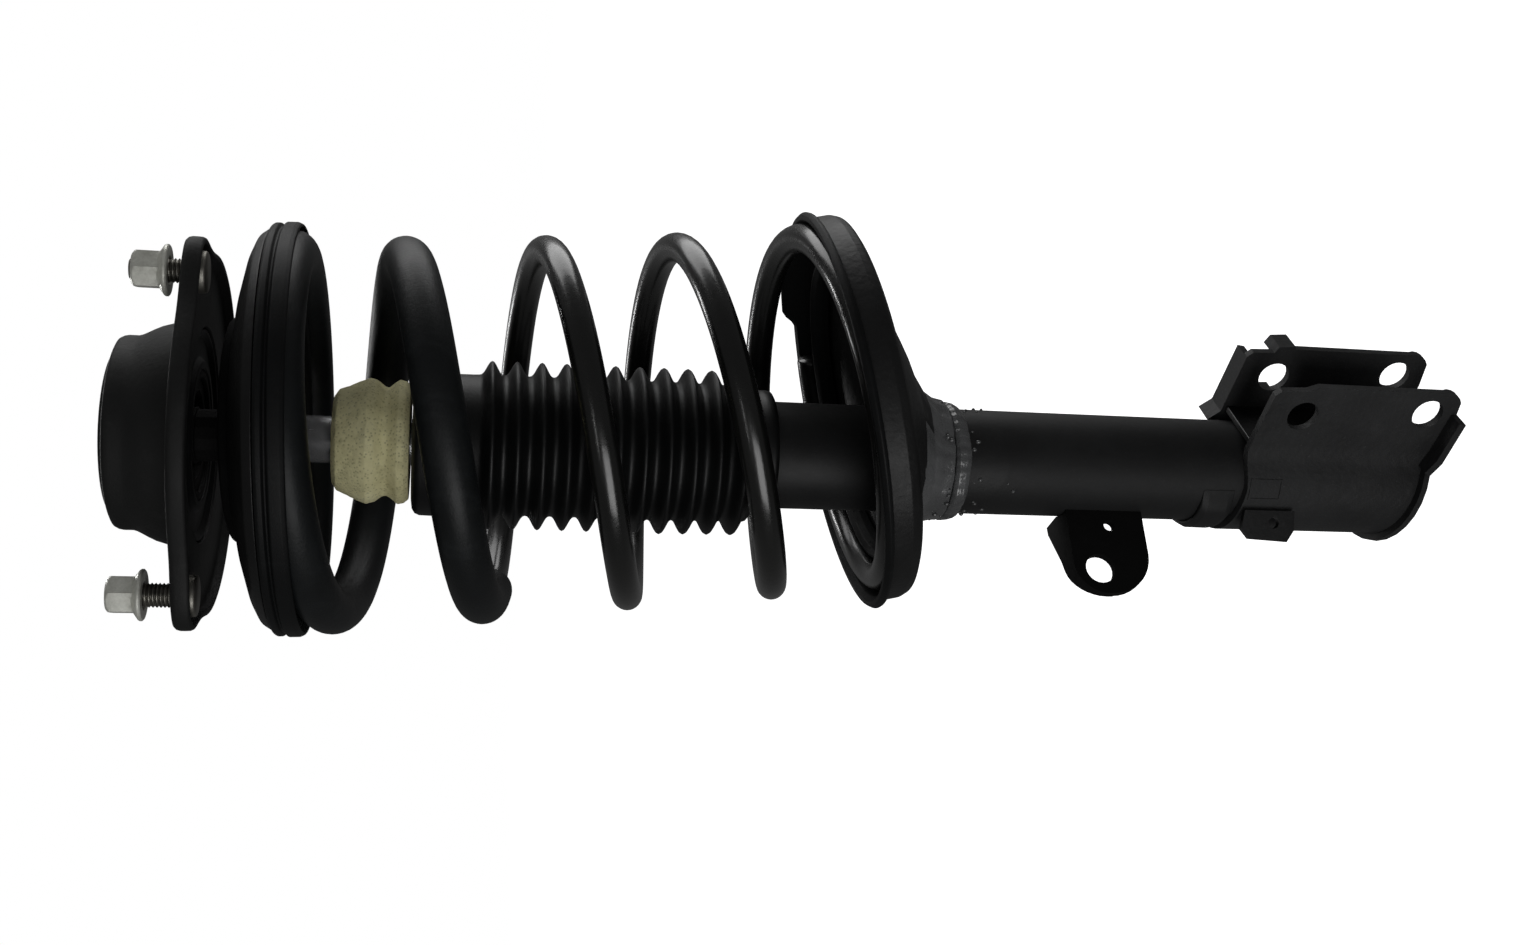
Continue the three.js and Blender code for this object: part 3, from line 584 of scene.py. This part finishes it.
def boot_outline():
    """Moulded bellows: round folds under a plain collar, with a rolled hem at the bottom."""
    pitch, first, count, valley_r, fold, wall = 10.7, 122.0, 11, 30.5, 6.2, 1.6
    end = first + pitch * (count - 0.5)
    shoulder = [(10.4, 89.4), (25.8, 89.4), (28.6, 89.8), (30.6, 91), (31.4, 93), (31.5, 100.6)]
    side = [(31.2, 102.4), (valley_r, 104)] + [(30.4, depth) for depth in (106, 109, 112, 114.5)]
    for k in range(count):
        for t in np.linspace(-0.5, 0.5, 13)[:-1]:
            rise = 0.5 + 0.5 * math.cos(2 * math.pi * t)
            side.append((valley_r + fold * rise ** 1.25, first + pitch * (k + t)))
    hem = [(30.2, end + 0.5), (29.0, 235.6), (28.2, 237), (28.2, 239), (28.8, 240.2), (28.9, 243),
           (28.4, 244.6), (27.4, 245.2), (26.6, 244.8), (26.4, 243.6), (26.4, 239), (27.0, 236.5)]
    inside = [(r - wall, depth + 0.2) for r, depth in reversed(side)]
    return shoulder + side + hem + inside + [(28, 94), (10.4, 91.6)]


co, faces = lathe(boot_outline(), 144)
co = lumps(co, from_axis(co) > 30.3, size=30, height=0.35, seed=5.0)
boot = make("bellows_boot", co, faces, "boot", ROD, "dust_boot", sharp=80)
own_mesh(boot)

# ---------------------------------------------------------------- coil spring and its sleeve

# A place along the wire is a number of half turns, counted from COIL_AZIMUTH on the upper seat.
COIL_AZIMUTH = math.radians(35)
COIL_START, COIL_END, SLEEVE_END = -0.85, 9.62, 3.1
BULGES = ((1.05, 0.4, 1.6), (2, 0.45, -2.4), (7.95, 0.35, 1.5))  # place, width, size


def wire_depth(place):
    """Flat on the upper seat, an even climb down the free turns, and flat again on the lower seat."""
    leave, climb, land, rest, pitch, even_from = 0.3, 1.39, 7.8, 8.6, 29.9, 0.445

    def even(at):
        return TOP_WIRE + pitch * (at - even_from)

    def eased(distance, span, rise):
        t = distance / span
        return (rise * (3 - 2 * t) + pitch * span * (t - 1)) * t * t

    if place < leave:
        return TOP_WIRE
    if place > rest:
        return END_WIRE
    if place > land:
        return END_WIRE - eased(rest - place, rest - land, END_WIRE - even(land))
    if place > climb:
        return even(place)
    return TOP_WIRE + eased(place - leave, climb - leave, even(climb) - TOP_WIRE)


def wire_radius(place):
    r = COIL_R_SLEEVED + (COIL_R - COIL_R_SLEEVED) * smoothstep(place, 2.9, 4)
    for at, width, size in BULGES:
        r += size * math.exp(-((place - at) / width) ** 2)
    return r


def wire_tilt(place):
    """The tilt of the turns, which grows from the upper seat's to the lower seat's."""
    free = max(0.0, place - 3)
    grown = UPPER["tilt"] + 1.5 * smoothstep(place, 0, 1.5) + 0.55 * free + 0.172 * free ** 2
    return math.radians(min(LOWER["tilt"], grown))


def wire_lean(place):
    """The azimuth that the turns lean towards. It is the seats' own at both ends."""
    return math.radians(LEAN_DEGREES + 9 * smoothstep(place, 0.5, 2.5) * (1 - smoothstep(place, 7.2, 8.6)))


def wire_bow(depth):
    """How far the turns' middle stands off the strut axis."""
    below = depth - UPPER["pivot"]
    return 3 + 0.045 * below + 0.00013 * below ** 2 + 0.8 * smoothstep(below, 195, 225)


def coil_point(place):
    """The wire's centre."""
    depth, r = wire_depth(place), wire_radius(place)
    azimuth, lean, tilt = COIL_AZIMUTH - math.pi * place, wire_lean(place), wire_tilt(place)
    x, y = r * math.cos(azimuth), r * math.sin(azimuth)
    reach = x * math.cos(lean) + y * math.sin(lean)
    shift = reach * (math.cos(tilt) - 1) + wire_bow(depth)
    return Vector((x + shift * math.cos(lean), y + shift * math.sin(lean), reach * math.sin(tilt) - depth))


def swept(places, radii, bore=None, sides=28):
    """A rod along the wire's line, or a tube where a bore is given, and each point's place on the wire."""
    loops = []
    for section in ([radii] if bore is None else [radii, bore]):
        for place, r in zip(places, section):
            p = coil_point(place)
            tangent = (coil_point(place + 0.01) - coil_point(place - 0.01)).normalized()
            out = Vector((p.x, p.y, 0)).normalized()
            out = (out - tangent * out.dot(tangent)).normalized()
            up = tangent.cross(out)
            loops.append([p + (out * math.cos(a) + up * math.sin(a)) * r for a in around(sides)])
    co = np.array([point for loop in loops for point in loop], float)
    count = len(places)
    last = count - 1
    faces = []

    def strip(a, b, inward=False):
        for i in range(sides):
            j = (i + 1) % sides
            face = (a * sides + i, a * sides + j, b * sides + j, b * sides + i)
            faces.append(face[::-1] if inward else face)

    for k in range(last):
        strip(k, k + 1)
    if bore is None:
        faces.append(list(range(sides))[::-1])
        faces.append([last * sides + i for i in range(sides)])
    else:
        for k in range(last):
            strip(count + k, count + k + 1, inward=True)
        strip(count, 0)
        strip(last, count + last)
    return co, faces, np.tile(np.repeat(places, sides), 1 if bore is None else 2)


def sprung(obj, places):
    """Bakes the wire's placement into its points and works out each section's share of the height, but does
    not move the wire with the seats.
    """
    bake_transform(obj)
    shares = [(wire_depth(place) - TOP_WIRE) / (END_WIRE - TOP_WIRE) for place in places]


def wire_piece(name, co, faces, places, finish, node):
    """Makes the mesh without joining any point, so that each point keeps its place along the wire."""
    mesh = bpy.data.meshes.new(name)
    mesh.from_pydata((co * MM).tolist(), [], faces)
    bm = bmesh.new()
    bm.from_mesh(mesh)
    bmesh.ops.recalc_face_normals(bm, faces=bm.faces)
    bm.to_mesh(mesh)
    bm.free()
    obj = dress(bpy.data.objects.new(name, mesh), finish, node=node, sharp=50)
    sprung(obj, places)


def eased_ends(places, r, taper):
    """A radius at each place, smaller by the taper at both ends."""
    radii = np.full(len(places), r, float)
    radii[[0, -1]] = r - taper
    radii[[1, -2]] = r - taper * 0.3
    return radii


places = np.concatenate([
    [COIL_START, COIL_START + 0.003], np.linspace(COIL_START + 0.008, COIL_END - 0.008, 420),
    [COIL_END - 0.003, COIL_END],
])
co, faces, along = swept(places, eased_ends(places, 6.45, 0.9))
wire_piece("wire_coil", co, faces, along, "gloss", "coil_spring")

places = np.concatenate([
    [COIL_START - 0.002, COIL_START + 0.003], np.linspace(COIL_START + 0.01, SLEEVE_END - 0.012, 190),
    [SLEEVE_END - 0.004, SLEEVE_END],
])
wobble = np.array([0.12 * mnoise.noise(Vector((place * 2.3, 0.4, 0))) for place in places])
outside, bore = eased_ends(places, 9.85, 0.8) + wobble, eased_ends(places, 7.0, -0.4)
co, faces, along = swept(places, outside, bore, sides=36)
wire_piece("wire_sleeve", co, faces, along, "sleeve", "spring_sleeve")

# ---------------------------------------------------------------- damper tube

TUBE = [(22, 238, 0.3), (23.2, 238, 0.6), (TUBE_R, 239, 0.8), (TUBE_R, TUBE_END, 0.3), (22, TUBE_END, 0.3)]
TUBE_CAP = [(10.4, 234), (20.6, 234, 1.5), (23.9, 236.2, 1.2), (23.9, 237.7), (10.4, 237.7)]
TUBE_FOOT = [(0, 544.3), (21.7, 544.3), (21.7, 549.3), (23.9, 549.3), (22.8, 552, 1.5), (15, 552, 0.6),
             (13.6, 550.8, 0.6), (0, 550.8)]
co, faces = lathe(dense(fillet(TUBE, 0.5), 8), 128)
make("outer_tube", co, faces, "tube", BODY, "strut_tube")
turned("tube_cap", TUBE_CAP, 0.4, 128, "black", BODY, "tube_top_cap")
turned("tube_foot", TUBE_FOOT, 0.6, 96, "grey", BODY, "tube_base_cap")

# ---------------------------------------------------------------- lower spring seat, rubber and weld

CUP = [(FIT_R, 325, 0.4), (26.9, 325, 0.8), (27.6, 320, 2), (30.5, 314.5, 4), (36, 308.5, 5), (44, 303, 6),
       (54, 296.5, 6), (62, 292, 6), (70, 290.8, 3), (81.5, 290.8, 4), (85.6, 288.8, 3), (87, 285, 2),
       (87, 276.5, 0.7), (85.3, 276.5, 0.7), (85.3, 284.8, 2), (81.8, 288, 2), (70, 288, 2), (61, 288.8, 3),
       (52.6, 292.8, 3), (42.6, 299.4, 3), (34, 304.9, 3), (27.6, 311.8, 3), (FIT_R, 318, 1)]
co, faces = lathe(dense(fillet(CUP, 0.8, 4), 4), 180)
near_neck = np.clip((46 - from_axis(co)) / 18, 0, 1) * (from_axis(co) > FIT_R + 0.5)
co = lumps(co, near_neck, size=16, height=1.3, seed=2.0)
co = lumps(co, near_neck, size=5.5, height=0.9, seed=6.0)
cup = make("lower_seat_cup", leaned(co, **LOWER), faces, "seat", BODY, "lower_spring_seat", sharp=60)


def weld_and_painted_light_over_neck(cup):
    """Gives the seat's neck the weld's light finish, down from a ragged edge. The zone is sized to where the
    neck is lit, so it is partly the weld's own colour and partly painted light.
    """
    highest, edge_r, ragged, grain = -303, 36, 2.5, 6
    cup.data.materials.append(FINISHES["weld"])
    for face in cup.data.polygons:
        x, y, z = face.center / MM
        edge = edge_r + ragged * mnoise.noise(Vector((x / grain, y / grain, z / grain)))
        if z < highest and math.hypot(x, y) < edge:
            face.material_index = 1


weld_and_painted_light_over_neck(cup)

GROOVE_R = 8.0
PADDING = [(64, 287.7, 0.5), (81.6, 287.7, 1.5), (85, 284.6, 1.5), (85, 276.2, 0.3), (89.4, 276.2, 0.6),
           (90, 274.6, 0.8), (88.6, 272.6, 0.9), (86.6, 272.6, 0.8), (84.6, 275.4, 0.6)]
PADDING += arc(COIL_R, END_WIRE, GROOVE_R, 0, 180, 12)
PADDING += [(66.6, 279.2, 0.6), (64.6, 281, 1), (64, 284.4, 1)]


def uneven_lip(co):
    """Makes the rubber's lip low over one stretch, with a swelling before it."""
    foot, low_from, low_to = -276.1, 91, 150
    co = co.copy()
    azimuth = np.degrees(np.arctan2(co[:, 1], co[:, 0]))
    past = smoothstep(azimuth, low_from - 3, low_from + 3)
    low = past * (1 - smoothstep(azimuth, low_to - 3, low_to + 3))
    swell = smoothstep(azimuth, low_from - 26, low_from - 14) * (1 - past)
    lip = co[:, 2] > foot
    co[:, 2] = np.where(lip, foot + (co[:, 2] - foot) * (1 - 0.75 * low + 0.8 * swell), co[:, 2])
    return co


co, faces = lathe(dense(fillet(PADDING, 0.3, 3), 4), 180)
co = leaned(uneven_lip(co), **LOWER)
make("lower_seat_rubber", co, faces, "rubber", BODY, "lower_seat_isolator", sharp=50)


def weld_bead(name, node, outline, wander, ripples, seed):
    """A hand-laid bead: a surface in even ripples, with an edge that wanders up and down."""
    co, faces = lathe(dense(outline, 1.0), 240)
    middle = sum(depth for _, depth in outline) / len(outline)
    for i, (x, y, z) in enumerate(co):
        r = math.hypot(x, y)
        if r < FIT_R + 0.1:
            continue
        a = math.atan2(y, x)
        swell = 0.45 * abs(math.sin(a * ripples / 2 + 0.8 * math.sin(3 * a + seed)))
        swell += 0.9 * mnoise.noise(Vector((x / 7 + seed, y / 7, seed)))
        grown = (r + swell * min(1, (r - FIT_R) / 1.2)) / r
        co[i, 0] *= grown
        co[i, 1] *= grown
        edge = mnoise.noise(Vector((co[i, 0] / 11, co[i, 1] / 11, seed + 4)))
        co[i, 2] += wander * edge * (1 if -z > middle else 0.4)
    make(name, co, faces, "weld", BODY, node, sharp=80)


BEAD = [(FIT_R, 325.2), (26.2, 325.4), (27.3, 327.2), (26.8, 330), (25.4, 332.2), (FIT_R, 332.8)]
weld_bead("seat_bead", "seat_weld", fillet(BEAD, 1.2, 4), wander=1.4, ripples=34, seed=1.7)

# ---------------------------------------------------------------- pressed brackets


def pressed(name, node, finish, rolled):
    """The CAD pressing with its facets joined into whole faces and its edges rolled."""
    obj = bpy.data.objects.new(name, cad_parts[node].data.copy())
    bm = bmesh.new()
    bm.from_mesh(obj.data)
    bmesh.ops.remove_doubles(bm, verts=bm.verts, dist=2e-5)
    bmesh.ops.dissolve_limit(bm, angle_limit=math.radians(1.2), verts=bm.verts, edges=bm.edges)
    bm.to_mesh(obj.data)
    bm.free()
    dress(obj, finish, BODY, node, sharp=34, rolled=rolled)
    flat = obj.modifiers.new("flat_faces", "WEIGHTED_NORMAL")
    flat.keep_sharp = True
    bake(obj)


pressed("knuckle_clevis", "knuckle_bracket", "ear", 0.7)
pressed("clevis_web", "bracket_web", "grey", 0.5)
pressed("hose_lug", "hose_bracket", "grey", 0.45)
# The tab takes the near-black finish as painted shade: it lies in the tube's shadow.
pressed("link_tab", "stabiliser_tab", "under", 0.6)


def band(name, node, outline, start, end, fade, finish):
    """Part of a ring round the tube, from one azimuth to another, that thins out at both ends."""
    steps = 90
    section = fillet(outline, 1.2, 4)
    count = len(section)
    co = []
    for i in range(steps + 1):
        azimuth = start + (end - start) * i / steps
        a = math.radians(azimuth)
        share = smoothstep(min(azimuth - start, end - azimuth), -1.5, fade)
        wave = 0.5 * mnoise.noise(Vector((azimuth / 14, 3.3, 0)))
        for r, depth in section:
            out = FIT_R + (r - FIT_R) * share * (1 + 0.3 * wave)
            co.append((out * math.cos(a), out * math.sin(a), -depth + wave * share))
    faces = skin(steps + 1, count, closed=False)
    faces += [tuple(range(count)), tuple(steps * count + k for k in range(count))]
    make(name, co, faces, finish, BODY, node, sharp=60)


COLLAR = [(FIT_R, 446.5), (26, 446.6), (27.3, 449.5), (27.4, 459), (26.6, 461.8), (FIT_R, 461.8)]
band("clevis_bead", "bracket_collar", COLLAR, start=78, end=282, fade=26, finish="tube")


def spatter(name, count, seed):
    """Small droplets of weld metal that stuck to the tube and the seat's neck."""
    rng = np.random.default_rng(seed)
    bm = bmesh.new()
    for _ in range(count):
        azimuth = math.radians(rng.uniform(-150, 60))
        size = rng.uniform(0.3, 1.0) ** 2 * 1.1 + 0.25
        depth = 334 + rng.exponential(5.0) if rng.random() < 0.6 else 324 - rng.exponential(2.0)
        r = TUBE_R if depth > 330 else 27.1 + max(0.0, 321 - depth) * 0.5
        place = Vector((r * math.cos(azimuth), r * math.sin(azimuth), -depth)) * MM
        drop = bmesh.ops.create_icosphere(bm, subdivisions=2, radius=size * MM)["verts"]
        stretch = rng.uniform(0.7, 1.5)
        for vert in drop:
            vert.co = Vector((vert.co.x, vert.co.y, vert.co.z * stretch)) + place
    dress(object_from(name, bm), "weld", BODY, sharp=80)


spatter("weld_spatter", count=38, seed=11)


def stamped_frame(name, azimuth, span, top, bottom, width, rise):
    """A plain raised rectangular outline on the wrap's outer face."""
    steps, sunk = 12, 0.2
    middle, half = math.radians(azimuth), math.radians(span) / 2
    bm = bmesh.new()
    loops = []
    for inset, lift in ((0, -sunk), (0, rise), (width, rise), (width, -sunk)):
        left, right = middle - half + inset / WRAP_R, middle + half - inset / WRAP_R
        high, low, r = top + inset, bottom - inset, WRAP_R + lift
        corners = [(left, high), (right, high), (right, low), (left, low)]
        loop = []
        for (a, depth), (next_a, next_depth) in zip(corners, corners[1:] + corners[:1]):
            for i in range(steps):
                at = a + (next_a - a) * i / steps
                z = -(depth + (next_depth - depth) * i / steps)
                loop.append(bm.verts.new(Vector((r * math.cos(at), r * math.sin(at), z)) * MM))
        loops.append(loop)
    for first, second in zip(loops, loops[1:] + loops[:1]):
        for a, b, c, d in zip(first, first[1:] + first[:1], second[1:] + second[:1], second):
            bm.faces.new((a, b, c, d))
    bmesh.ops.recalc_face_normals(bm, faces=bm.faces)
    dress(object_from(name, bm), "ear", BODY, sharp=30)


stamped_frame("wrap_frame", azimuth=-73, span=21, top=467, bottom=483, width=0.9, rise=0.35)

# ---------------------------------------------------------------- CAD nodes that stay

KEPT = {
    # The bearing's races, spacer and washer take the near-black finish as painted shade inside the mount.
    "bearing_outer_race": "under", "bearing_ball_ring": "steel", "bearing_inner_race": "under",
    "bearing_spacer": "under", "rod_washer": "under",
    "rebound_stop": "nylon", "piston": "steel", "piston_nut": "zinc",
    "rod_seal": "rubber", "rod_guide": "steel", "pressure_tube": "steel", "base_valve": "steel",
}
for node, finish in KEPT.items():
    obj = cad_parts[node]
    obj.data.materials.clear()
    obj.data.materials.append(FINISHES[finish])

# ---------------------------------------------------------------- camera, floor and light

# The strut lies across the view, with its lower end to the right and this azimuth up. `near` points out of
# the view, at the camera.
up_azimuth = math.radians(35.07)
down = Vector((0, 0, -1))
up = Vector((math.cos(up_azimuth), math.sin(up_azimuth), 0))
near = Vector((math.sin(up_azimuth), -math.cos(up_azimuth), 0))


def framed(a, b, c):
    return (down * a + up * b + near * c).normalized()


def add_camera():
    right = framed(0.98009, 0.03263, 0.19584)
    above = framed(-0.03200, 0.99947, -0.00639)
    forward = framed(0.19595, 0.0, -0.98061)
    place = (0.39904, -0.58231, -0.10445)
    camera = bpy.data.objects.new("camera", bpy.data.cameras.new("camera"))
    bpy.context.scene.collection.objects.link(camera)
    turn = Matrix((right, above, -forward)).transposed().to_4x4()
    camera.matrix_world = Matrix.Translation(place) @ turn
    camera.data.sensor_width = 36
    camera.data.lens = 37.52
    camera.data.clip_start = 0.01
    camera.data.clip_end = 50
    bpy.context.scene.camera = camera


def white_floor():
    """A plain white floor under the part, light enough to meet the white surround without a seam."""
    bm = bmesh.new()
    bmesh.ops.create_grid(bm, x_segments=8, y_segments=8, size=9)
    floor = object_from("floor", bm)
    bpy.context.scene.collection.objects.link(floor)
    floor.location = (0, 0, -0.66)
    mat = bpy.data.materials.new("mat_floor")
    mat.use_nodes = True
    bsdf = mat.node_tree.nodes["Principled BSDF"]
    bsdf.inputs["Base Color"].default_value = (0.92, 0.92, 0.92, 1)
    bsdf.inputs["Roughness"].default_value = 0.9
    bsdf.inputs["Emission Color"].default_value = (1, 1, 1, 1)
    bsdf.inputs["Emission Strength"].default_value = 1.0
    floor.data.materials.append(mat)
    floor.visible_glossy = False
    floor.visible_diffuse = False


def softbox(name, offset, size, power):
    """A rectangular light that faces the part's middle. Its sizes are across the strut and along it."""
    centre = Vector((0, 0, -0.26))
    lamp = bpy.data.objects.new(name, bpy.data.lights.new(name, "AREA"))
    lamp.data.shape = "RECTANGLE"
    lamp.data.size, lamp.data.size_y = size
    lamp.data.energy = power
    lamp.location = centre + offset
    lamp.rotation_mode = "QUATERNION"
    lamp.rotation_quaternion = (-offset).to_track_quat("-Z", "Y")
    bpy.context.scene.collection.objects.link(lamp)


def white_surround():
    """A world that the camera sees as white, but that lights the part only a little."""
    world = bpy.data.worlds.new("surround")
    world.use_nodes = True
    tree = world.node_tree
    background = tree.nodes["Background"]
    path = tree.nodes.new("ShaderNodeLightPath")
    level = tree.nodes.new("ShaderNodeMapRange")
    level.inputs["To Min"].default_value = 0.1
    level.inputs["To Max"].default_value = 1.0
    tree.links.new(path.outputs["Is Camera Ray"], level.inputs["Value"])
    tree.links.new(level.outputs["Result"], background.inputs["Strength"])
    background.inputs["Color"].default_value = (1, 1, 1, 1)
    bpy.context.scene.world = world


add_camera()
white_floor()
softbox("overhead", up * 1.2 - near * 0.55 - down * 0.3, size=(0.9, 1.6), power=11)
softbox("edge", up * 0.05 - near * 1.1 - down * 1.15, size=(0.6, 0.12), power=4)
softbox("streak", near * 1.3 - up * 0.3 - down * 0.85, size=(0.6, 0.05), power=0.8)
softbox("fill", near * 1.4 - up * 0.95 + down * 0.35, size=(1.2, 1.2), power=18)
white_surround()
bpy.context.scene.view_settings.view_transform = "Standard"
